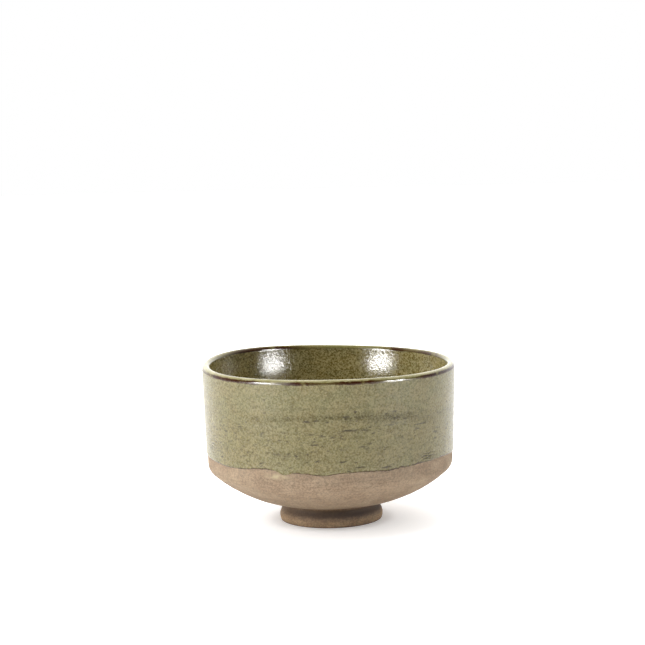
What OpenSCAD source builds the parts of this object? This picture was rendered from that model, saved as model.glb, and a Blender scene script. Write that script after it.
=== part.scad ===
// Matcha bowl: a thrown stoneware bowl on a flared foot ring, glazed inside and over most of the wall.
// Millimetres, +Z up. The origin is the centre of the face that the foot ring stands on.

/* [Bowl] */
// Diameter over the glazed lip, the widest part of the bowl
rim_d = 120; // [110:0.5:130]
// Height from the standing face to the top of the lip
bowl_h = 75.4; // [70:0.2:85]
// Thickness of the clay at the lip
lip_t = 3.1; // [2.6:0.1:4.2]
// Inward lean of the outside of the wall, in degrees from upright
wall_lean = 1.5; // [0.5:0.1:3]
// Inward lean of the inside of the wall, which thickens the clay downwards
inner_lean = 3.8; // [2:0.1:5]
// Height of the hip, where the wall would meet the underside with no rounding
hip_z = 26.1; // [24.5:0.1:28.5]
// Rounding radius of the hip
hip_round = 6; // [3:0.5:9]
// Radius of the curve of the underside, between the hip and the foot
under_r = 62.6; // [56:0.2:72]

/* [Inside floor] */
// Height of the lowest point of the inside, in the middle of the tea pool
floor_z = 14.2; // [13.9:0.1:16.4]
// Radius of the curve between the inside wall and the floor
inner_hip_r = 21; // [18:0.5:26]
// Radius of the dished floor
floor_r = 180; // [150:5:240]
// Diameter of the tea pool, the small dished hollow in the middle of the floor
pool_d = 32; // [26:0.5:38]
// Depth of the tea pool below the floor around it
pool_depth = 0.7; // [0.4:0.1:1]

/* [Foot ring] */
// Outside diameter of the foot ring just above the standing face
foot_d = 49.8; // [47:0.2:54]
// Outside diameter of the neck, where the ring meets the underside
neck_d = 44.4; // [43:0.2:46]
// Height of the neck above the standing face
foot_h = 8.8; // [7.6:0.1:9.8]
// Width of the standing face with its rounded edges
foot_t = 5.6; // [4.6:0.1:6.4]
// Rounding radius of the two edges of the standing face
foot_round = 0.7; // [0.3:0.1:1]
// Depth of the hollow in the outside of the ring
foot_cove = 0.35; // [0.1:0.05:0.6]
// Inward lean of the inside of the ring, in degrees from upright
foot_lean = 7; // [2:1:10]

/* [Glaze] */
// Thickness of the fired glaze
glaze_t = 0.4; // [0.3:0.05:0.6]
// Height of the lower edge of the outside glaze
glaze_line_z = 33.2; // [31.5:0.1:45.5]
// Angle on the lip, above level, where the lip's glaze gives way to each side's glaze
lip_break = 12; // [5:1:25]

/* [Smoothness] */
// Number of facets round the bowl
round_facets = 180; // [90:10:360]
// Largest step of an arc in the outline, in degrees
arc_step = 4; // [2:1:8]

/* [Hidden] */
$fn = round_facets;
// Points closer together than this are one point
same_point = 0.0001;

// The lip is half a circle of clay, and both faces of the wall run down from it.
lip_r = lip_t / 2;
lip_centre = [rim_d / 2 - glaze_t - lip_r, bowl_h - glaze_t - lip_r];
outer_wall_r = rim_d / 2 - glaze_t + lip_r * (1 / cos(wall_lean) - 1);

// Points on an arc about a centre, both ends included.
function arc(centre, r, from, to) =
    let (steps = max(2, ceil(abs(to - from) / arc_step)))
    [for (i = [0 : steps]) centre + r * polar(from * (1 - i / steps) + to * i / steps)];

function polar(angle) = [cos(angle), sin(angle)];
function angle_of(v) = atan2(v[1], v[0]);
function reversed(points) = [for (i = [len(points) - 1 : -1 : 0]) points[i]];

// The points without those that repeat the one before, as where one arc ends and the next begins.
function distinct(points) = [
    for (i = [0 : len(points) - 1])
        if (i == 0 || norm(points[i] - points[i - 1]) > same_point) points[i]
];

// Centre of a circle of radius r that rolls inside both a leaning wall and a bowl-shaped arc.
// The wall has radius base_radius at height 0, and leans inwards going down.
function rolling_centre(base_radius, lean, arc_centre, arc_r, r) =
    let (
        start = [base_radius - r / cos(lean), 0] - arc_centre,
        way = [tan(lean), 1],
        a = way * way,
        b = 2 * start * way,
        c = start * start - (arc_r - r) * (arc_r - r),
        height = (-b - sqrt(b * b - 4 * a * c)) / (2 * a)
    )
    arc_centre + start + height * way;

// Underside: one arc through the unrounded hip and the neck of the foot.
outer_base_radius = outer_wall_r - lip_centre[1] * tan(wall_lean);
hip_corner = [outer_base_radius + hip_z * tan(wall_lean), hip_z];
neck = [neck_d / 2, foot_h];
chord = hip_corner - neck;
chord_rise = sqrt(under_r * under_r - chord * chord / 4);
under_centre = (hip_corner + neck) / 2 + chord_rise * [-chord[1], chord[0]] / norm(chord);
hip_centre = rolling_centre(outer_base_radius, wall_lean, under_centre, under_r, hip_round);
hip_angle = angle_of(hip_centre - under_centre);
neck_angle = angle_of(neck - under_centre);

// Foot ring: its top follows the underside between the neck and the ring's inside.
foot_inner_r = foot_d / 2 - foot_t;
foot_top_r = foot_inner_r - foot_h * tan(foot_lean);
foot_top_angle = -acos((foot_top_r - under_centre[0]) / under_r);

// Inside: a wall, a rolling curve, a dished floor and a smaller dish for the tea pool.
inner_base_radius = lip_centre[0] - lip_r / cos(inner_lean) - lip_centre[1] * tan(inner_lean);
floor_centre = [0, floor_z + pool_depth + floor_r];
inner_hip_centre = rolling_centre(inner_base_radius, inner_lean, floor_centre, floor_r, inner_hip_r);
pool_edge_z = floor_centre[1] - sqrt(floor_r * floor_r - pool_d * pool_d / 4);
pool_rise = pool_edge_z - floor_z;
pool_r = (pool_d * pool_d / 4 + pool_rise * pool_rise) / (2 * pool_rise);
pool_centre = [0, floor_z + pool_r];

// The clay's outside, from the top of the lip's outer quarter to the hip and along the underside.
under_arc = arc(under_centre, under_r, hip_angle, neck_angle);
foot_seat = arc(under_centre, under_r, neck_angle, foot_top_angle);
under_middle = arc(under_centre, under_r, foot_top_angle, -90);
hip_arc = arc(hip_centre, hip_round, -wall_lean, hip_angle);

// The inside surface from the lip to the axis, raised by d towards the hollow.
function inside_path(d, from) = concat(
    arc(lip_centre, lip_r + d, from, 180 - inner_lean),
    arc(inner_hip_centre, inner_hip_r - d, -inner_lean, angle_of(inner_hip_centre - floor_centre)),
    dished_floor(floor_r - d, pool_r - d)
);

// The floor from its outer edge to the axis, where the pool's dish takes over from the floor's.
function dished_floor(floor_arc_r, pool_arc_r) =
    let (
        gap = pool_centre[1] - floor_centre[1],
        lift = (floor_arc_r * floor_arc_r - pool_arc_r * pool_arc_r + gap * gap) / (2 * gap),
        edge = [sqrt(floor_arc_r * floor_arc_r - lift * lift), lift],
        start_angle = angle_of(inner_hip_centre - floor_centre)
    )
    concat(
        arc(floor_centre, floor_arc_r, start_angle, angle_of(edge)),
        arc(pool_centre, pool_arc_r, angle_of(edge - [0, gap]), -90)
    );

// A band of glaze between a path on the clay and the same path raised by the glaze's thickness.
module glaze_band(on_clay, raised) {
    rotate_extrude() polygon(distinct(concat(on_clay, reversed(raised))));
}

// The thrown bowl: wall, hip and floor in one piece of stoneware.
module clay_bowl() {
    color("#a58c75")
    rotate_extrude()
    polygon(distinct(concat(
        reversed(inside_path(0, 90)),
        reversed(arc(lip_centre, lip_r, -wall_lean, 90)),
        hip_arc,
        under_arc,
        foot_seat,
        under_middle,
        [[0, under_centre[1] - under_r]]
    )));
}

// The foot ring, thrown as a ring of the same clay and luted under the bowl.
module foot_ring() {
    outer_edge = [foot_d / 2 - foot_round, foot_round];
    inner_edge = [foot_inner_r + foot_round, foot_round];
    side = neck - [foot_d / 2, foot_round];
    color("#957a63")
    rotate_extrude()
    polygon(distinct(concat(
        arc(inner_edge, foot_round, 180, 270),
        arc(outer_edge, foot_round, 270, 360),
        [for (s = [0.2 : 0.2 : 0.8])
            [foot_d / 2, foot_round] + s * side - foot_cove * sin(180 * s) * [1, 0]],
        foot_seat
    )));
}

// The dipped coat on the outside of the wall, with a rounded lower edge.
module outer_glaze() {
    wall_foot = [outer_base_radius + glaze_line_z * tan(wall_lean), glaze_line_z];
    out = polar(-wall_lean);
    up = polar(90 - wall_lean);
    lower_edge = [for (a = [15 : 15 : 90]) wall_foot + glaze_t * (sin(a) * out + (1 - cos(a)) * up)];
    color("#8f8766")
    glaze_band(
        concat([wall_foot], arc(lip_centre, lip_r, -wall_lean, lip_break)),
        concat(lower_edge, arc(lip_centre, lip_r + glaze_t, -wall_lean, lip_break))
    );
}

// The poured coat over the whole inside.
module inner_glaze() {
    color("#6b6139")
    glaze_band(inside_path(0, 180 - lip_break), inside_path(glaze_t, 180 - lip_break));
}

// The bead over the lip, where the poured and the dipped coats lap.
module lip_glaze() {
    color("#857c52")
    glaze_band(
        arc(lip_centre, lip_r, lip_break, 180 - lip_break),
        arc(lip_centre, lip_r + glaze_t, lip_break, 180 - lip_break)
    );
}

clay_bowl();
foot_ring();
outer_glaze();
inner_glaze();
lip_glaze();
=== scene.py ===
import math

import bpy
import numpy as np
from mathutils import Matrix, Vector, noise


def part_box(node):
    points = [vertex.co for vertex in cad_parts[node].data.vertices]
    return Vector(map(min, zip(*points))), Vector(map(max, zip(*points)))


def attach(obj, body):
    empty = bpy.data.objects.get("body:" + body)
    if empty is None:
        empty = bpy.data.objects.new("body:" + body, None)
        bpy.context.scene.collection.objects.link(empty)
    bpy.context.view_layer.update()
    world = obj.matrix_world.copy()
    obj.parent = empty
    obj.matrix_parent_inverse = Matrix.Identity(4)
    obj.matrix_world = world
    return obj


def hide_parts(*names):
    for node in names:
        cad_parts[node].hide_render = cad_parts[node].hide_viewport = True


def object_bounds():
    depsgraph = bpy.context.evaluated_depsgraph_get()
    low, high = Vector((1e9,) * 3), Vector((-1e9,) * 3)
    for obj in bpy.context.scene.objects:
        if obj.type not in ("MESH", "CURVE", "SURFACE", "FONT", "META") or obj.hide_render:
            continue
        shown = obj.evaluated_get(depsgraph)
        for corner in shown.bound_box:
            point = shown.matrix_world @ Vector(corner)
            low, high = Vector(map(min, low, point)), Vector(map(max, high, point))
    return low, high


# A matcha bowl of thrown stoneware: clay, foot ring and three coats of glaze.
# The scene is in metres. Sizes below are in millimetres where a name or a comment says so,
# and azimuths are in degrees from the front (-Y), growing towards +X.

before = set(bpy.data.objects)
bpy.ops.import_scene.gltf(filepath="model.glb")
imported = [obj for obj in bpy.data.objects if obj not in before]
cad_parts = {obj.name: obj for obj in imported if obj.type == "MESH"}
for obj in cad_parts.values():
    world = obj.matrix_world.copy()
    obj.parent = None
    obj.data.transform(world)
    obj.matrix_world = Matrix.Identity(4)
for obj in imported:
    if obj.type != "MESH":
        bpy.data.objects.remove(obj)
cad_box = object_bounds()
MM = 0.001
# Distance between points along a smoothed outline, in mm.
OUTLINE_STEP = 0.05


# ---------------------------------------------------------------- outlines

def cad_outline(node):
    """The node's outline in the half plane x > 0, y = 0, in mm, counter-clockwise, and if it is closed."""
    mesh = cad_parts[node].data
    on_plane = {
        i: (round(v.co.x / MM, 3), round(v.co.z / MM, 3))
        for i, v in enumerate(mesh.vertices)
        if abs(v.co.y) < 1e-7 and v.co.x > -1e-7
    }
    links = {}
    for edge in mesh.edges:
        a, b = (on_plane.get(i) for i in edge.vertices)
        if a and b and a != b:
            links.setdefault(a, set()).add(b)
            links.setdefault(b, set()).add(a)
    ends = [p for p in links if len(links[p]) == 1]
    path = [min(ends or links, key=lambda p: p[1])]
    while True:
        ahead = [p for p in links[path[-1]] if p not in path]
        if not ahead:
            break
        path.append(ahead[0])
    points = np.array(path)
    r, z = points[:, 0], points[:, 1]
    if np.sum(r * np.roll(z, -1) - np.roll(r, -1) * z) < 0:
        points = points[::-1]
    return points, not ends


def smooth_outline(node, rounding):
    """The outline in fine even steps with its corners rounded off, and its outward normals."""
    points, closed = cad_outline(node)
    if closed:
        points = np.vstack([points, points[:1]])
    run = np.concatenate([[0], np.cumsum(np.linalg.norm(np.diff(points, axis=0), axis=1))])
    count = int(run[-1] / OUTLINE_STEP)
    at = np.linspace(0, run[-1], count, endpoint=not closed)
    dense = np.stack([np.interp(at, run, points[:, k]) for k in (0, 1)], axis=1)
    reach = int(4 * rounding / OUTLINE_STEP)
    weight = np.exp(-0.5 * (np.arange(-reach, reach + 1) * OUTLINE_STEP / rounding) ** 2)
    weight /= weight.sum()
    if closed:
        padded = np.vstack([dense[-reach:], dense, dense[:reach]])
    else:
        mirror = np.array([-1, 1])
        padded = np.vstack([dense[reach:0:-1] * mirror, dense, dense[-2:-reach - 2:-1] * mirror])
    soft = np.stack([np.convolve(padded[:, k], weight, "valid") for k in (0, 1)], axis=1)
    if closed:
        ahead = np.roll(soft, -1, axis=0) - np.roll(soft, 1, axis=0)
    else:
        ahead = np.gradient(soft, axis=0)
        soft[0, 0] = soft[-1, 0] = 0
    ahead /= np.linalg.norm(ahead, axis=1)[:, None]
    normals = np.stack([ahead[:, 1], -ahead[:, 0]], axis=1)
    return soft, normals, closed


class Surface:
    """A body of revolution as a grid: a row for each outline point and a column for each azimuth.

    step(r, z, normals) says how far apart the rows are along the outline, in mm: close together
    where the surface shows, and far apart where another piece hides it.
    fields are numbers for each point of the grid, which the materials read by name.
    """

    def __init__(self, node, columns, step, rounding):
        soft, normals, self.closed = smooth_outline(node, rounding)
        density = np.cumsum(OUTLINE_STEP / step(soft[:, 0], soft[:, 1], normals))
        rows = int(density[-1])
        at = np.linspace(density[0], density[-1], rows, endpoint=not self.closed)
        pick = [np.interp(at, density, part)[:, None] for part in (*soft.T, *normals.T)]
        self.r, self.z, self.nr, self.nz = pick
        self.azimuth = np.linspace(-180, 180, columns, endpoint=False)[None, :]
        self.fields = {}

    def points(self, r=None, z=None):
        """Places on the grid in mm, shaped (rows, columns, 3)."""
        r = self.r if r is None else r
        z = self.z if z is None else z
        a = np.radians(self.azimuth)
        x, y, z = np.broadcast_arrays(r * np.sin(a), -r * np.cos(a), z)
        return np.stack([x, y, z], axis=-1)

    def build(self, name, body, material, r, z):
        """The mesh object for the grid at radii r and heights z. It replaces the CAD node of its name."""
        places = self.points(r, z)
        rows, columns = places.shape[:2]
        if self.closed:
            vertices = places.reshape(-1, 3)
            index = np.arange(rows * columns).reshape(rows, columns)
            lower = index
            upper = np.roll(index, -1, axis=0)
        else:
            poles = places[[0, -1]].mean(axis=1)
            vertices = np.vstack([poles[:1], places[1:-1].reshape(-1, 3), poles[1:]])
            index = 1 + np.arange((rows - 2) * columns).reshape(rows - 2, columns)
            lower, upper = index[:-1], index[1:]
        right = np.roll(lower, -1, axis=1), np.roll(upper, -1, axis=1)
        quads = np.stack([lower, right[0], right[1], upper], axis=-1).reshape(-1, 4)
        faces = quads.tolist()
        if not self.closed:
            first, last = index[0], index[-1]
            top = len(vertices) - 1
            faces += [[0, b, a] for a, b in zip(first, np.roll(first, -1))]
            faces += [[top, a, b] for a, b in zip(last, np.roll(last, -1))]
        mesh = bpy.data.meshes.new(name)
        mesh.from_pydata((vertices * MM).tolist(), [], faces)
        mesh.polygons.foreach_set("use_smooth", np.ones(len(mesh.polygons), bool))
        mesh.set_sharp_from_angle(angle=math.radians(50))
        for key, field in self.fields.items():
            field = np.broadcast_to(field, (rows, columns))
            if not self.closed:
                field = np.concatenate([[field[0].mean()], field[1:-1].ravel(), [field[-1].mean()]])
            layer = mesh.attributes.new(key, "FLOAT", "POINT")
            layer.data.foreach_set("value", field.ravel().astype(np.float32))
        mesh.materials.append(material)
        piece = bpy.data.objects.new(name, mesh)
        bpy.context.scene.collection.objects.link(piece)
        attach(piece, body)
        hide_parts(name.removesuffix("_fired"))


# ---------------------------------------------------------------- shape by hand

# The lip rises and falls: (waves per turn, height in mm, azimuth of a crest).
LIP_WAVES = ((1, 0.84, -137), (2, 0.39, 48), (3, 0.37, -4))
# The wall's radius wanders: (waves per turn, amplitude in mm, azimuth of a crest).
WALL_WAVES = ((2, 0.16, 20), (3, 0.10, -60), (5, 0.05, 10))
# Heights in mm: the lip's waves die out down to wave_foot, the curve of the lip starts just above
# lip_foot, and lip_top is the top of a level lip.
wave_foot = 32.4
lip_foot = 72.5
lip_top = cad_box[1].z / MM
# The glazed lip is half round: its radius, and the distance of its middle from the axis, in mm.
lip_radius = 1.95
lip_r = cad_box[1].x / MM - lip_radius
# Where the lip's glaze gives way to the outside's, in degrees above level.
lip_break = 12
# The outside of the wall near its foot: its distance from the axis in mm, and its growth with height.
wall_r = 59.0
wall_lean = 1 / 40


def waves(azimuth, terms):
    """The sum of some waves round the bowl, in mm."""
    return sum(size * np.cos(np.radians(count * (azimuth - crest))) for count, size, crest in terms)


def rising(value, start, length):
    """0 up to a start, and 1 from a length past it."""
    return np.clip((value - start) / length, 0, 1)


def falling(value, end, length):
    """1 until a length short of an end, and 0 from the end on."""
    return np.clip((end - value) / length, 0, 1)


def by_hand(azimuth, r, z):
    """Where a point of a perfect bowl sits on this one."""
    up_wall = np.clip((z - wave_foot) / (lip_top - wave_foot), 0, 1.05)
    body = rising(z, 12, 20) * rising(r, 0, 40)
    return r + body * waves(azimuth, WALL_WAVES), z + up_wall ** 1.3 * waves(azimuth, LIP_WAVES)


def grain(places, size, octaves, shift):
    """A smooth random field of about -1 to 1 with features of a size in mm. shift picks the field."""
    flat = places.reshape(-1, 3) / size + shift
    values = [noise.fractal(Vector(p), 1.0, 2.0, octaves) for p in flat.tolist()]
    return np.array(values).reshape(places.shape[:-1])


def eased(share):
    """0 to 1, eased at both ends."""
    share = np.clip(share, 0, 1)
    return share * share * (3 - 2 * share)


def wrapped(azimuth, centre):
    """Degrees round from a centre, from -180 to 180."""
    return (azimuth - centre + 180) % 360 - 180


def bump_at(azimuth, centre, width):
    """A bell-shaped bump of height 1 round an azimuth."""
    return np.exp(-0.5 * (wrapped(azimuth, centre) / width) ** 2)


# ---------------------------------------------------------------- glaze edges

# Azimuth of the drip, a narrow tongue of glaze below the edge.
drip_at = -21
# The lower edge of the outside glaze: (azimuth, width in degrees, rise in mm).
EDGE_SWELLS = (
    (-52, 11, -0.6), (-31, 5, 1.0), (drip_at, 1.8, -1.1), (-4, 6.0, -1.2),
    (15, 4, -0.1), (26, 6, -0.5), (57, 10, 0.5), (88, 12, -0.4), (112, 4, 1.0),
    (131, 9, -0.8), (158, 3, -1.7), (171, 9, 0.9), (-166, 7, -0.7), (-140, 3, 1.1),
    (-118, 8, -0.5), (-90, 9, 0.4),
)
glaze_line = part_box("outer_glaze")[0].z / MM


def edge_rise(azimuth):
    """Height of the lower edge of the outside glaze above its mean, in mm."""
    return sum(rise * bump_at(azimuth, centre, width) for centre, width, rise in EDGE_SWELLS)


# Long shallow pits in the outside glaze: (azimuth, height, half length, half thickness, depth),
# in degrees and mm. First the ones that stand out, then a scatter of small ones all round.
PITS = [
    (-53, 49.4, 1.3, 0.27, 0.08), (-43, 52.6, 1.3, 0.28, 0.08), (-57, 36.8, 1.2, 0.30, 0.08),
    (-32, 36.7, 1.0, 0.27, 0.08), (-18, 58.5, 0.5, 0.27, 0.07), (-10, 56.7, 1.8, 0.28, 0.08),
    (-6, 57.1, 1.3, 0.27, 0.07), (-1, 56.4, 0.7, 0.27, 0.08), (-15, 41.0, 0.8, 0.40, 0.08),
    (-10, 41.9, 0.7, 0.27, 0.08), (-8, 50.9, 1.2, 0.27, 0.08), (-3, 50.1, 1.3, 0.27, 0.08),
    (1, 49.4, 1.1, 0.28, 0.09), (5, 50.1, 0.7, 0.27, 0.08), (-6, 38.6, 0.9, 0.27, 0.08),
    (5, 38.2, 1.4, 0.27, 0.08), (11, 37.8, 0.6, 0.30, 0.08), (7, 58.6, 1.7, 0.27, 0.08),
    (11, 60.8, 0.8, 0.30, 0.08), (25, 59.0, 0.6, 0.30, 0.08), (29, 59.8, 1.2, 0.27, 0.08),
    (8, 52.4, 3.4, 0.27, 0.08), (15, 52.2, 1.7, 0.27, 0.09), (14, 44.7, 2.0, 0.27, 0.07),
    (24, 42.7, 0.6, 0.27, 0.08), (44, 52.3, 4.6, 0.27, 0.07), (54, 47.1, 1.4, 0.27, 0.08),
    (54, 43.9, 1.2, 0.27, 0.07), (65, 46.5, 1.4, 0.27, 0.08), (65, 59.5, 1.1, 0.27, 0.07),
    (8, 33.8, 0.9, 0.27, 0.09), (13, 35.5, 2.1, 0.27, 0.10), (25, 34.5, 2.3, 0.27, 0.11),
    (19, 33.2, 2.6, 0.27, 0.09), (78, 46.0, 1.2, 0.40, 0.16), (81, 48.6, 1.0, 0.40, 0.16),
]
scatter = np.random.default_rng(11)
for _ in range(380):
    PITS.append((
        scatter.uniform(-180, 180),
        np.clip(scatter.normal(47, 7.0), 35.5, 66),
        scatter.gamma(2.0, 0.28) + 0.2,
        scatter.uniform(0.24, 0.32),
        scatter.uniform(0.03, 0.07),
    ))

# Throwing grooves in the outside: (height, depth, half width), in mm.
GROOVES = ((55.0, 0.06, 1.2), (51.4, 0.03, 0.7), (46.4, 0.03, 0.9), (41.0, 0.03, 0.9), (62.3, 0.03, 1.1))

# Darker drifts in the outside glaze: (azimuth, height, half width, half height, strength),
# with widths in degrees and heights in mm.
DRIFTS = (
    (6, 58.6, 15, 1.5, 0.85), (28, 57.0, 12, 1.6, 0.90), (-25, 57.4, 11, 1.2, 0.60),
    (9, 52.3, 9, 0.8, 0.40), (44, 53.2, 8, 1.2, 0.30), (-48, 51.6, 9, 1.4, 0.25),
    (-12, 41.6, 8, 1.6, 0.25), (75, 55.6, 14, 1.5, 0.40), (104, 57.0, 16, 1.4, 0.55),
    (118, 49.6, 14, 1.1, 0.30), (151, 58.1, 17, 1.6, 0.65), (172, 51.6, 12, 1.0, 0.35),
    (-158, 56.4, 16, 1.5, 0.55), (-128, 57.8, 13, 1.3, 0.60), (-104, 51.1, 15, 1.1, 0.35),
    (-82, 56.6, 13, 1.4, 0.40),
)

# Where the iron line is strong, outside and inside the lip: (azimuth, half width), in degrees.
IRON_OUTSIDE = (
    (-52, 10), (-42, 7), (-13, 5), (12, 7), (51, 6), (70, 9),
    (104, 14), (150, 16), (-165, 10), (-128, 14), (-92, 10),
)
IRON_INSIDE = ((-156, 9), (-133, 11), (-66, 12), (64, 12), (118, 11), (143, 6))


def grooves_at(azimuth, z):
    """Depth of the throwing grooves, in mm. They climb as they go round."""
    depth = np.zeros(np.broadcast(azimuth, z).shape)
    for height, deep, half in GROOVES:
        depth = depth + deep * np.exp(-((z - height - 1.6 * azimuth / 360) / half) ** 2)
    return depth


def crawled_at(azimuth, z):
    """How much the glaze has crawled into wrinkles, from 0 to 1: right of the front, and on the left."""
    right = bump_at(azimuth, 48, 3.6) * np.exp(-((z - 36.4) / 1.9) ** 2)
    left = bump_at(azimuth, -66, 5.0) * np.exp(-((z - 41.0) / 5.0) ** 2)
    return right + 0.5 * left


def drifts_at(azimuth, z):
    """How dark the drifts make the glaze, from 0 to 1."""
    dark = 0
    for centre, height, width, tall, strength in DRIFTS:
        dark = dark + strength * bump_at(azimuth, centre, width) * np.exp(-((z - height) / tall) ** 2)
    return np.clip(dark, 0, 1)


def pits_at(azimuth, z, radius):
    """Depth of the pits, in mm."""
    depth = np.zeros(z.shape)
    mm_per_degree = math.pi / 180 * radius
    for centre, height, length, thickness, deep in PITS:
        near = np.abs(wrapped(azimuth[0], centre)) * mm_per_degree < 3 * length
        across = wrapped(azimuth[:, near], centre) * mm_per_degree / length
        ragged = 0.35 * np.sin(across * 3.1 + centre) * thickness
        up = (z[:, near] - height - ragged) / thickness
        depth[:, near] = np.maximum(depth[:, near], deep * np.exp(-across ** 2 - up ** 2))
    return depth


# ---------------------------------------------------------------- materials

class Shader:
    """A material whose nodes are made by name and linked as they are made."""

    def __init__(self, name):
        self.material = bpy.data.materials.new(name)
        self.material.use_nodes = True
        self.nodes = self.material.node_tree.nodes
        self.links = self.material.node_tree.links
        self.surface = self.nodes["Principled BSDF"]
        where = self.add("ShaderNodeTexCoord")
        scaled = self.add("ShaderNodeVectorMath", operation="SCALE")
        self.links.new(where.outputs["Object"], scaled.inputs[0])
        scaled.inputs["Scale"].default_value = 1 / MM
        self.mm = scaled.outputs[0]

    def add(self, kind, **settings):
        made = self.nodes.new(kind)
        for key, value in settings.items():
            setattr(made, key, value)
        return made

    def feed(self, socket, value):
        """Links a socket to another node's output, or sets it to a plain value."""
        if isinstance(value, bpy.types.NodeSocket):
            self.links.new(value, socket)
        else:
            socket.default_value = value

    def math(self, operation, a, b=0.0):
        made = self.add("ShaderNodeMath", operation=operation)
        self.feed(made.inputs[0], a)
        self.feed(made.inputs[1], b)
        return made.outputs[0]

    def product(self, first, *others):
        """Values multiplied together."""
        for other in others:
            first = self.math("MULTIPLY", first, other)
        return first

    def stretch(self, x, y, z):
        """Coordinates in mm, with each axis divided by a feature size."""
        made = self.add("ShaderNodeVectorMath", operation="MULTIPLY")
        self.feed(made.inputs[0], self.mm)
        made.inputs[1].default_value = (1 / x, 1 / y, 1 / z)
        return made.outputs[0]

    def distance_from(self, place):
        """Distance from a place, both in mm."""
        made = self.add("ShaderNodeVectorMath", operation="DISTANCE")
        self.feed(made.inputs[0], self.mm)
        made.inputs[1].default_value = place
        return made.outputs["Value"]

    def noise(self, size, detail, roughness, flat, seed):
        """Noise from 0 to 1 with features of a size in mm, flattened along Z by a factor."""
        made = self.add("ShaderNodeTexNoise", noise_dimensions="4D")
        self.feed(made.inputs["Vector"], self.stretch(size, size, size / flat))
        made.inputs["W"].default_value = seed
        made.inputs["Scale"].default_value = 1.0
        made.inputs["Detail"].default_value = detail
        made.inputs["Roughness"].default_value = roughness
        return made.outputs["Fac"]

    def dots(self, size, core, rim, rare, seed, flat=1.0):
        """Scattered dots, 1 inside and 0 outside, about size mm apart.

        Each fades out between two distances from its middle, core and rim, as shares of the size.
        Only points whose random number, from 0 to 1, is past rare have a dot.
        """
        made = self.add("ShaderNodeTexVoronoi", voronoi_dimensions="4D")
        self.feed(made.inputs["Vector"], self.stretch(size, size, size / flat))
        made.inputs["W"].default_value = seed
        made.inputs["Scale"].default_value = 1.0
        inside = self.ramp(made.outputs["Distance"], core, rim, 1.0, 0.0)
        return self.product(inside, self.ramp(made.outputs["Color"], rare, rare + 0.04))

    def ramp(self, value, low, high, to_low=0.0, to_high=1.0):
        """value from low..high to to_low..to_high, eased and held at both ends."""
        made = self.add("ShaderNodeMapRange", interpolation_type="SMOOTHSTEP")
        self.feed(made.inputs["Value"], value)
        made.inputs["From Min"].default_value = low
        made.inputs["From Max"].default_value = high
        made.inputs["To Min"].default_value = to_low
        made.inputs["To Max"].default_value = to_high
        return made.outputs["Result"]

    def field(self, name):
        """A number stored at each vertex of the mesh."""
        return self.add("ShaderNodeAttribute", attribute_name=name).outputs["Fac"]

    def mix(self, share, a, b, blend="MIX"):
        made = self.add("ShaderNodeMix", data_type="RGBA", blend_type=blend)
        self.feed(made.inputs["Factor"], share)
        self.feed(made.inputs["A"], a)
        self.feed(made.inputs["B"], b)
        return made.outputs["Result"]

    def tint(self, colour, where, amount, other):
        """The colour mixed with another, as far as two values multiplied together say."""
        return self.mix(self.product(where, amount), colour, other)

    def bump(self, height, distance, below=None):
        """A normal bent by a height from 0 to 1, which is distance mm deep."""
        made = self.add("ShaderNodeBump")
        made.inputs["Strength"].default_value = 1.0
        made.inputs["Distance"].default_value = distance * MM
        self.feed(made.inputs["Height"], height)
        if below is not None:
            self.feed(made.inputs["Normal"], below)
        return made.outputs["Normal"]


def srgb(red, green, blue):
    """A colour given as 0 to 255 in sRGB, as the linear colour that shaders take."""
    return tuple(((c / 255 + 0.055) / 1.055) ** 2.4 for c in (red, green, blue)) + (1.0,)


# The iron line at the lip, and the specks of iron in the glaze.
IRON = srgb(54, 24, 0)
IRON_SOFT = srgb(92, 80, 42)
# Grain lightens and darkens a glaze in this proportion of red, green and blue, which keeps its hue.
GRAIN_TINT = (1.1, 1.0, 0.6, 1.0)


def glaze_body(name, body, green, warm):
    """The cloudy colour of an ash glaze, before its grain."""
    s = Shader(name)
    clouds = s.ramp(s.noise(10.0, 3.0, 0.55, 1.6, 1.0), 0.36, 0.64)
    colour = s.mix(clouds, body, green)
    patches = s.ramp(s.noise(2.4, 3.0, 0.7, 1.3, 2.0), 0.50, 0.68)
    return s, s.tint(colour, patches, 0.3, warm)


def grained(s, colour, dark, contrast):
    """The colour with mottling of 3 mm, grain of 0.75 mm, freckles and iron specks."""
    coarse = s.ramp(s.noise(3.2, 3.0, 0.7, 1.3, 3.0), 0.30, 0.70, -0.16 * contrast, 0.16 * contrast)
    fine = s.ramp(s.noise(0.75, 1.0, 0.7, 1.0, 3.5), 0.34, 0.66, -contrast, contrast)
    both = s.mix(1.0, s.math("ADD", coarse, fine), GRAIN_TINT, "MULTIPLY")
    colour = s.mix(1.0, colour, both, "ADD")
    freckles = s.ramp(s.noise(1.1, 2.0, 0.65, 1.4, 5.0), 0.60, 0.70)
    colour = s.tint(colour, freckles, 0.38, dark)
    specks = s.dots(1.7, 0.14, 0.30, 0.58, seed=4.0)
    return s.tint(colour, specks, 0.65, IRON_SOFT)


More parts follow.
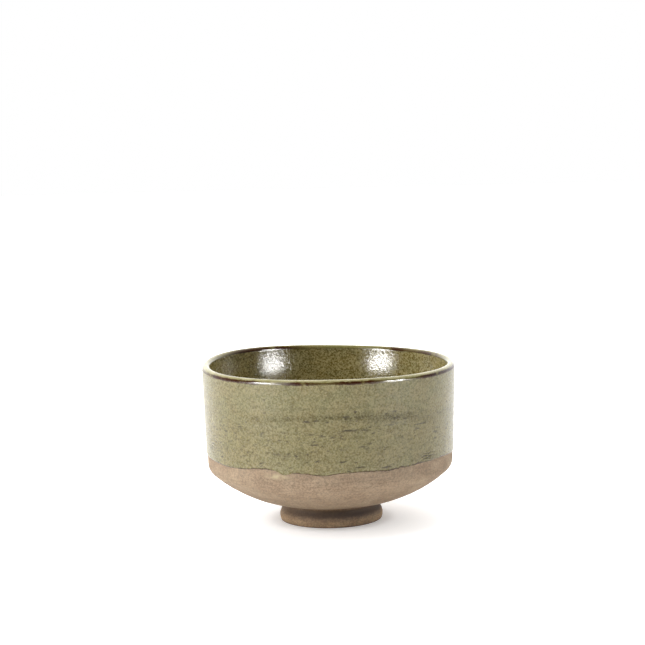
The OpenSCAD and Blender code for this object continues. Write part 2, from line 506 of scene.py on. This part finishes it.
def finish_glaze(s, colour, roughness, peel_mm):
    """The iron line at the lip, the roughness and the relief, which all three coats share."""
    ragged = s.math("SUBTRACT", s.noise(1.8, 3.0, 0.6, 1.0, 8.0), 0.5)
    swell = s.product(s.math("SUBTRACT", s.noise(11.0, 2.0, 0.5, 1.0, 8.5), 0.5), 0.6)
    offset = s.math("ADD", s.math("ADD", s.field("lip"), ragged), swell)
    # The line is widest where it is strongest.
    width = s.ramp(s.field("iron"), 0.0, 1.0, 0.7, 1.5)
    line = s.ramp(s.math("DIVIDE", s.math("ABSOLUTE", offset), width), 0.34, 0.68, 1.0, 0.0)
    gaps = s.ramp(s.noise(4.0, 3.0, 0.65, 1.0, 9.0), 0.34, 0.48, 0.35, 1.0)
    colour = s.mix(s.product(line, gaps, s.field("iron")), colour, IRON)
    s.feed(s.surface.inputs["Base Color"], colour)
    s.surface.inputs["Specular IOR Level"].default_value = 0.38
    rough = s.ramp(s.noise(1.1, 2.0, 0.5, 1.0, 6.0), 0.3, 0.7, roughness * 0.8, roughness * 1.2)
    s.feed(s.surface.inputs["Roughness"], rough)
    fine = s.bump(s.noise(0.6, 2.0, 0.6, 1.0, 7.0), peel_mm * 0.35)
    peel = s.bump(s.noise(0.9, 2.0, 0.6, 1.0, 7.5), peel_mm, below=fine)
    s.feed(s.surface.inputs["Normal"], peel)
    return s.material


def outer_glaze_material():
    """Satin olive glaze with drifts, flecks, scratches, pits and a dark lower edge."""
    s, colour = glaze_body("outer_glaze", srgb(121, 111, 73), srgb(116, 110, 73), srgb(125, 113, 73))
    # Browner where it is busiest, and darker in the drifts and the grooves.
    colour = s.tint(colour, s.field("busy"), 0.35, srgb(120, 108, 65))
    cloudy = s.ramp(s.noise(2.2, 4.0, 0.8, 2.2, 12.0), 0.34, 0.60, 0.30, 1.0)
    colour = s.tint(colour, s.field("drift"), cloudy, srgb(76, 68, 22))
    streaks = s.ramp(s.noise(7.0, 4.0, 0.7, 3.5, 12.5), 0.44, 0.68, 0.0, 0.5)
    colour = s.tint(colour, s.field("groove"), streaks, srgb(84, 72, 40))
    colour = grained(s, colour, srgb(72, 62, 34), 0.053)
    # Pale flecks, and fine dark scratches along the throwing lines, in clusters.
    busy = s.math("MAXIMUM", s.field("busy"), s.field("drift"))
    pale = s.dots(1.9, 0.12, 0.26, 0.60, flat=1.3, seed=17.0)
    colour = s.tint(colour, s.product(pale, busy), 0.5, srgb(160, 148, 92))
    cluster = s.ramp(s.noise(13.0, 2.0, 0.5, 1.8, 14.0), 0.36, 0.54)
    dashes = s.ramp(s.noise(3.0, 3.0, 0.65, 3.2, 13.0), 0.59, 0.65)
    short_dashes = s.dots(2.2, 0.18, 0.30, 0.52, flat=1.6, seed=15.0)
    scratches = s.product(s.math("MAXIMUM", dashes, short_dashes), cluster, busy)
    colour = s.tint(colour, scratches, 0.85, srgb(50, 38, 2))
    colour = s.tint(colour, s.field("pit"), 0.95, srgb(42, 30, 0))
    # A dark rim along the lower edge: partly the glaze's own brown edge, partly painted shadow under its
    # bead.
    edge = s.ramp(s.field("edge"), 0.20, 0.75, 1.0, 0.0)
    patchiness = s.ramp(s.noise(4.0, 3.0, 0.6, 1.0, 18.0), 0.36, 0.56, 0.35, 0.95)
    colour = s.tint(colour, edge, patchiness, srgb(56, 36, 18))
    return finish_glaze(s, colour, 0.30, 0.07)


def inner_glaze_material():
    """Glossy olive glaze, strongly mottled."""
    s, colour = glaze_body("inner_glaze", srgb(131, 119, 76), srgb(124, 115, 76), srgb(137, 121, 76))
    # Greener and deeper where it pooled in the floor.
    colour = s.mix(s.field("pool"), colour, srgb(96, 96, 50))
    return finish_glaze(s, grained(s, colour, srgb(54, 43, 18), 0.095), 0.16, 0.12)


def lip_glaze_material():
    """Glossy olive glaze that is nearly plain, with a painted highlight over the crest."""
    s, colour = glaze_body("lip_glaze", srgb(114, 105, 62), srgb(108, 103, 60), srgb(122, 108, 60))
    # A pale colour over the crest, where the lip faces upwards, is a painted highlight.
    patchiness = s.ramp(s.noise(6.0, 3.0, 0.6, 1.0, 19.0), 0.34, 0.60, 0.10, 0.40)
    colour = s.tint(colour, s.field("crest"), patchiness, srgb(178, 173, 138))
    return finish_glaze(s, grained(s, colour, srgb(76, 62, 32), 0.020), 0.13, 0.02)


def clay_material(name, light, mid, dark, smear=False):
    """Bare stoneware: sandy, with turning lines, and with a few dark and pale grits."""
    s = Shader(name)
    clouds = s.ramp(s.noise(11.0, 3.0, 0.5, 1.5, 21.0), 0.35, 0.65)
    colour = s.mix(clouds, light, mid)
    turned = s.ramp(s.noise(9.0, 4.0, 0.75, 10.0, 22.0), 0.40, 0.64)
    colour = s.tint(colour, turned, 0.28, dark)
    sand = s.ramp(s.noise(1.0, 2.0, 0.8, 1.2, 23.0), 0.34, 0.66)
    blotches = s.ramp(s.noise(4.5, 3.0, 0.7, 1.6, 23.5), 0.34, 0.66, 0.92, 1.07)
    colour = s.mix(1.0, colour, s.ramp(sand, 0.0, 1.0, 0.78, 1.16), "MULTIPLY")
    colour = s.mix(1.0, colour, blotches, "MULTIPLY")
    dark_grits = s.dots(2.1, 0.08, 0.17, 0.60, seed=24.0)
    colour = s.tint(colour, dark_grits, 0.6, srgb(92, 70, 50))
    pale_grits = s.dots(2.7, 0.07, 0.15, 0.62, seed=25.0)
    colour = s.tint(colour, pale_grits, 0.5, srgb(205, 186, 160))
    if smear:
        colour = s.mix(s.field("smear"), colour, srgb(178, 163, 130))
    # Painted shade where the field says: on the bowl's underside near the foot, and on the foot ring under
    # the overhang and in a line where it stands.
    colour = s.mix(s.field("neck"), colour, srgb(62, 41, 25))
    s.feed(s.surface.inputs["Base Color"], colour)
    s.feed(s.surface.inputs["Roughness"], s.ramp(sand, 0.0, 1.0, 0.72, 0.9))
    s.surface.inputs["Specular IOR Level"].default_value = 0.25
    lines = s.bump(s.noise(6.0, 3.0, 0.6, 16.0, 26.0), 0.09)
    grains = s.bump(s.noise(1.0, 3.0, 0.7, 1.4, 27.0), 0.09, below=lines)
    s.feed(s.surface.inputs["Normal"], grains)
    return s.material


# ---------------------------------------------------------------- pieces

def build_outer_glaze():
    def step(r, z, normals):
        spacing = np.where(z > 62, 0.8, 0.36)
        spacing = np.where(z > lip_foot, 0.35, spacing)
        return np.where(normals[:, 0] > -0.5, spacing, 8.0)

    g = Surface("outer_glaze", 960, step, rounding=0.1)
    # The lower edge wanders, and takes the bottom 14 mm of the coat with it.
    round_wall = g.points(wall_r - 1, 0.0 * g.z)
    ragged = 0.16 + 0.22 * bump_at(g.azimuth, 34, 16)
    fine = ragged * grain(round_wall, 1.8, 3, 3.3) + 0.22 * grain(round_wall, 7.0, 2, 5.1)
    edge_z = glaze_line + edge_rise(g.azimuth) + fine
    rise = (edge_rise(g.azimuth) + fine) * falling(g.z, glaze_line + 14, 14) ** 2
    z = g.z + rise
    r = g.r + rise * wall_lean

    # Relief, only on the outward face: clouds, peel, a bead along the edge, wrinkles, grooves and pits.
    outside = rising(g.nr, -0.2, 0.4) * falling(g.z, lip_foot, 2) * rising(g.z, glaze_line + 0.2, 0.5)
    places = g.points(r, z)
    cloud = grain(places * np.array([1, 1, 2.2]), 9.0, 2, 1.7)
    peel = grain(places, 1.7, 2, 9.2)
    bead = 0.05 * np.exp(-((z - rise - glaze_line - 1.0) / 0.7) ** 2)
    crawl = crawled_at(g.azimuth, z)
    worms = np.sin(places[..., 2] * 4.8 + 5.0 * grain(places, 4.0, 2, 6.6))
    groove = grooves_at(g.azimuth, z)
    pit = pits_at(g.azimuth, z, wall_r)
    relief = 0.05 * cloud + 0.018 * peel + bead + 0.20 * crawl * worms
    relief = relief - groove * (0.75 + 0.4 * cloud) - 0.7 * pit
    r = r + outside * relief * g.nr
    z = z + outside * relief * g.nz

    # The edge's dark rim, partly the glaze's own brown edge and partly painted shadow under its bead, is
    # left out at the drip, and is widest where the edge is most ragged.
    drip = bump_at(g.azimuth, drip_at, 2.0)
    dark_rim = bump_at(g.azimuth, 38, 11)
    g.fields["edge"] = z - edge_z + 2.0 * drip - 0.45 * dark_rim
    between_worms = np.clip(-2.6 * (worms + 0.05), 0, 1)
    g.fields["pit"] = rising(pit, 0.012, 0.035) * outside + crawl * between_worms
    g.fields["groove"] = rising(groove, 0, 0.06) * outside
    g.fields["busy"] = np.exp(-((g.z - 46) / 11) ** 2) + 0 * g.azimuth
    g.fields["drift"] = drifts_at(g.azimuth, z)
    mark_break(g)
    r, z = by_hand(g.azimuth, r, z)
    g.build("outer_glaze_fired", "root", outer_glaze_material(), r, z)


def mark_break(g):
    """Fields for the line where the lip breaks brown: distance above it in mm, and strength."""
    def line_z(angle):
        return lip_top - lip_radius * (1 - math.sin(math.radians(angle)))

    outside = g.r > lip_r
    far_off = 40.0
    # The line runs higher inside the lip than outside.
    distance = np.where(outside, g.z - line_z(lip_break), g.z - line_z(2.5 * lip_break))
    near = np.abs(distance) < 3.0
    g.fields["lip"] = np.where(near, distance, far_off) + 0 * g.azimuth
    strong = [
        sum(bump_at(g.azimuth, centre, width) for centre, width in marks)
        for marks in (IRON_OUTSIDE, IRON_INSIDE)
    ]
    g.fields["iron"] = np.clip(np.where(outside, 0.30 + strong[0], 0.9 * strong[1]), 0, 1)


def build_lip_glaze():
    def from_centre(r, z):
        """Distance from the middle of the lip's round, in mm."""
        return np.hypot(r - lip_r, z - lip_top + lip_radius)

    def step(r, z, normals):
        return np.where(from_centre(r, z) < lip_radius - 0.2, 1.0, 0.22)

    g = Surface("lip_glaze", 1080, step, rounding=0.06)
    places = g.points()
    outside = rising(from_centre(g.r, g.z), lip_radius - 0.2, 0.15)
    relief = 0.03 * grain(places, 6.0, 2, 4.4) * outside
    r = g.r + relief * g.nr
    z = g.z + relief * g.nz
    # Painted highlight: 1 where the lip's outer face turns upwards towards the light.
    g.fields["crest"] = outside * eased((g.nz + 0.3 * g.nr - 0.62) / 0.36) + 0 * g.azimuth
    mark_break(g)
    r, z = by_hand(g.azimuth, r, z)
    g.build("lip_glaze_fired", "root", lip_glaze_material(), r, z)


def build_inner_glaze():
    def step(r, z, normals):
        on_show = normals[:, 0] * np.where(z > 24, 1, 0) < 0.2
        on_show &= np.where(z <= 24, normals[:, 1] > 0, True)
        spacing = np.where(z > 70, 0.3, 0.7)
        return np.where(on_show, spacing, 4.0)

    g = Surface("inner_glaze", 540, step, rounding=0.1)
    places = g.points()
    on_face = np.where((g.nr < 0.2) & (g.nz > -0.3), 1.0, 0.0) * falling(g.z, lip_foot - 0.5, 2)
    # Throwing marks spiral up the wall, and from the middle of the floor outwards.
    turn = np.radians(g.azimuth)
    rings = 0.008 * np.sin(g.z * 0.95 + turn) * rising(g.z, 26, 6)
    turns = 0.06 * np.sin(g.r * 1.25 + turn) * rising(g.r, 4, 6) * falling(g.z, 30, 6)
    uneven = 0.03 * grain(places, 9.0, 2, 2.2) + 0.012 * grain(places, 1.8, 2, 3.9)
    # The wall stands in below the lip, so that it opens out in its top 12 mm.
    inward = np.where(g.nr < 0, 0.55, 0.0) * eased((72.8 - g.z) / 12) * eased((g.z - 30) / 26)
    relief = on_face * (rings + turns + uneven) + inward
    r = g.r + relief * g.nr
    z = g.z + relief * g.nz
    pooled = 0.55 * eased((18.5 - g.r) / 5) + 0.25 * eased((48 - g.r) / 14) * eased((34 - g.z) / 8)
    patchy = 0.15 * grain(places, 7.0, 2, 5.5) * eased((30 - g.z) / 8)
    g.fields["pool"] = np.clip(pooled + patchy, 0, 1)
    mark_break(g)
    r, z = by_hand(g.azimuth, r, z)
    g.build("inner_glaze_fired", "root", inner_glaze_material(), r, z)


def build_clay_bowl():
    def step(r, z, normals):
        bare = (z < glaze_line + 2.5) & (normals[:, 1] < 0.3)
        return np.where(bare, 0.55, 3.0)

    g = Surface("clay_bowl", 1080, step, rounding=0.35)
    places = g.points()
    bare = falling(g.z, glaze_line + 1.0, 1.5) * rising(g.r, 21, 2) * np.where(g.nz < 0.5, 1.0, 0.0)
    # Turning lines follow the distance from the neck of the foot.
    along = np.hypot(g.r - 22, g.z - 8.4)
    turned = 0.022 * np.sin(along * 5.2 + 2.0 * np.radians(g.azimuth))
    drawn_out = 0.03 * grain(g.points(g.r * 0.25), 1.1, 3, 7.7)
    sandy = 0.020 * grain(places, 1.3, 3, 8.8) + 0.07 * grain(places, 14.0, 2, 2.8)
    relief = bare * (turned + drawn_out + sandy)
    r = g.r + relief * g.nr
    z = g.z + relief * g.nz
    # A smear of thin glaze under the drip, and shade near the foot.
    smear = bump_at(g.azimuth, -24, 3.6) * np.exp(-((g.z - 31.1) / 1.1) ** 2) * np.where(g.r > 40, 0.95, 0)
    g.fields["smear"] = smear * np.clip(0.6 + grain(places, 2.5, 2, 1.1), 0, 1)
    g.fields["neck"] = 0.35 * eased((36.0 - g.r) / 8.0) * np.where(g.nz < 0, 1, 0) + 0 * g.azimuth
    material = clay_material(
        "bare_stoneware", srgb(157, 137, 113), srgb(146, 125, 102), srgb(116, 95, 74), smear=True,
    )
    r, z = by_hand(g.azimuth, r, z)
    g.build("clay_bowl_fired", "root", material, r, z)


def build_foot_ring():
    def step(r, z, normals):
        return np.where(normals[:, 1] > 0.6, 2.0, 0.32)

    g = Surface("foot_ring", 720, step, rounding=0.3)
    places = g.points()
    turn = np.radians(g.azimuth)
    side = falling(g.z, 7.6, 1.0) * rising(g.z, 0, 0.6)
    relief = side * (0.03 * np.sin(g.z * 4.6 + turn) + 0.05 * grain(places, 3.0, 3, 4.1) - 0.02)
    # The ring swells above its foot, tucks in at it, and runs softly into the underside.
    swell = 0.85 * np.exp(-((g.z - 4.0) / 2.6) ** 2) - 0.75 * eased((3.0 - g.z) / 3.0)
    swell = swell + 0.6 * eased((g.z - 7.0) / 1.8)
    r = g.r + relief * g.nr + swell * np.clip(g.nr, 0, 1)
    z = g.z + relief * g.nz + 0.2 * eased((g.z - 7.6) / 1.2)
    # Painted shade under the overhang, deepest in front and on the right, away from the stronger light,
    # and a painted contact shadow in a line where it stands.
    overhang = 0.88 * eased((g.z - 2.2) / 3.6) * (1 - 0.45 * eased((g.z - 7.4) / 1.4))
    front_right = 0.7 + 0.3 * np.cos(turn) + 0.15 * np.sin(turn)
    g.fields["neck"] = np.clip(overhang * front_right + 0.6 * eased((0.9 - g.z) / 0.9), 0, 1)
    # The same clay as the bowl in lighter colours: painted light on a ring that sits in shade under the
    # bowl.
    material = clay_material(
        "foot_stoneware", srgb(185, 156, 122), srgb(171, 142, 109), srgb(125, 100, 75),
    )
    g.build("foot_ring_fired", "root", material, r, z)


build_clay_bowl()
build_foot_ring()
build_outer_glaze()
build_inner_glaze()
build_lip_glaze()


# ---------------------------------------------------------------- floor, light and camera

# Light that the floor sheds near the bowl, and light that only the camera sees on it.
FLOOR_GLOW = 0.30
FLOOR_LIFT = 0.31


def build_floor():
    """A white floor that glows, brighter further from the bowl so that it runs into the white behind, with
    painted shadow round the bowl.
    """
    bpy.ops.mesh.primitive_plane_add(size=8.0, location=(0, 0, 0))
    floor = bpy.context.object
    floor.name = "studio_floor"
    s = Shader("studio_floor")
    s.surface.inputs["Base Color"].default_value = (0.8, 0.8, 0.8, 1)
    s.surface.inputs["Roughness"].default_value = 0.9
    s.surface.inputs["Specular IOR Level"].default_value = 0.0
    s.surface.inputs["Emission Color"].default_value = (1, 1, 1, 1)
    distance = s.distance_from((0, 0, 0))
    glow = s.ramp(distance, 80, 420, FLOOR_GLOW, 0.5)
    # Painted contact shadow: the floor glows less right round the foot.
    painted_contact_shadow = s.ramp(distance, 24, 33, 0.3, 1.0)
    seen = s.add("ShaderNodeLightPath").outputs["Is Camera Ray"]
    lift = s.ramp(distance, 80, 420, FLOOR_LIFT, 0.6)
    # Painted shadow round the bowl, reaching further on the right, away from the stronger light.
    painted_shadow = s.ramp(s.distance_from((7, 3, 0)), 18, 49, 0.55, 1.0)
    brightness = s.math("ADD", s.product(glow, painted_contact_shadow), s.product(seen, lift, painted_shadow))
    s.feed(s.surface.inputs["Emission Strength"], brightness)
    floor.data.materials.append(s.material)


def build_world():
    """White where the camera sees it. As light, a bright sweep behind and a dim room in front.

    In reflections the sweep starts further back than it does as light.
    """
    world = bpy.data.worlds.new("studio")
    bpy.context.scene.world = world
    world.use_nodes = True
    nodes, links = world.node_tree.nodes, world.node_tree.links
    nodes.clear()
    where = nodes.new("ShaderNodeTexCoord")
    split = nodes.new("ShaderNodeSeparateXYZ")
    # The strength by direction: low towards the front and high towards the back.
    depth = nodes.new("ShaderNodeMapRange")
    depth.interpolation_type = "SMOOTHSTEP"
    depth.inputs["From Min"].default_value = -0.45
    depth.inputs["From Max"].default_value = 0.75
    depth.inputs["To Min"].default_value = 0.10
    depth.inputs["To Max"].default_value = 2.6
    lit = nodes.new("ShaderNodeBackground")
    seen = nodes.new("ShaderNodeBackground")
    seen.inputs["Color"].default_value = (1, 1, 1, 1)
    seen.inputs["Strength"].default_value = 1.0
    path = nodes.new("ShaderNodeLightPath")
    choose = nodes.new("ShaderNodeMixShader")
    out = nodes.new("ShaderNodeOutputWorld")
    links.new(where.outputs["Generated"], split.inputs[0])
    further = nodes.new("ShaderNodeMath")
    further.operation = "MULTIPLY_ADD"
    links.new(path.outputs["Is Glossy Ray"], further.inputs[0])
    further.inputs[1].default_value = -0.35
    links.new(split.outputs["Y"], further.inputs[2])
    links.new(further.outputs[0], depth.inputs["Value"])
    links.new(depth.outputs["Result"], lit.inputs["Strength"])
    links.new(path.outputs["Is Camera Ray"], choose.inputs[0])
    links.new(lit.outputs[0], choose.inputs[1])
    links.new(seen.outputs[0], choose.inputs[2])
    links.new(choose.outputs[0], out.inputs["Surface"])


def add_softbox(name, azimuth, low, high, width, distance, power):
    """An upright softbox at an azimuth from the front, from a low to a high edge, facing the bowl."""
    data = bpy.data.lights.new(name, "AREA")
    data.shape = "RECTANGLE"
    data.size = width
    data.size_y = high - low
    data.energy = power
    light = bpy.data.objects.new(name, data)
    a = math.radians(azimuth)
    middle = (low + high) / 2
    light.location = (distance * math.sin(a), -distance * math.cos(a), middle)
    aim = Vector((0, 0, middle)) - light.location
    light.rotation_euler = aim.to_track_quat("-Z", "Y").to_euler()
    light.visible_camera = False
    bpy.context.scene.collection.objects.link(light)
    return light


def add_card(name, azimuth, width, power):
    """A bright card that starts above the level of the lip, and shows only as a reflection."""
    light = add_softbox(name, azimuth, 0.16, 0.30, width, 0.9, power)
    light.visible_diffuse = False


def add_overhead(name, place, size, power):
    """A square softbox above the bowl, tilted to face it."""
    data = bpy.data.lights.new(name, "AREA")
    data.size = size
    data.energy = power
    light = bpy.data.objects.new(name, data)
    light.location = place
    light.rotation_euler = (-light.location).to_track_quat("-Z", "Y").to_euler()
    light.visible_camera = False
    light.visible_glossy = False
    bpy.context.scene.collection.objects.link(light)


def build_camera():
    data = bpy.data.cameras.new("camera")
    data.sensor_width = 36
    data.lens = 95.8
    data.clip_end = 50
    camera = bpy.data.objects.new("camera", data)
    camera.location = (-0.0022, -0.8076, 0.1883)
    camera.rotation_euler = (math.radians(90 - 6.67), 0, 0)
    camera.rotation_euler.rotate_axis("Z", math.radians(-1.31))
    bpy.context.scene.collection.objects.link(camera)
    bpy.context.scene.camera = camera


build_floor()
build_world()
add_overhead("softbox_top", place=(-0.24, 0.12, 1.1), size=1.2, power=18)
add_softbox("softbox_left", azimuth=-52, low=0.35, high=1.1, width=0.45, distance=0.9, power=6.5)
add_card("card_left", azimuth=-58.5, width=0.29, power=13.5)
add_card("card_right", azimuth=60.5, width=0.26, power=12)
add_softbox("softbox_low", azimuth=-62, low=0.04, high=0.30, width=0.5, distance=0.9, power=0.6)
build_camera()
bpy.context.scene.view_settings.view_transform = "Standard"
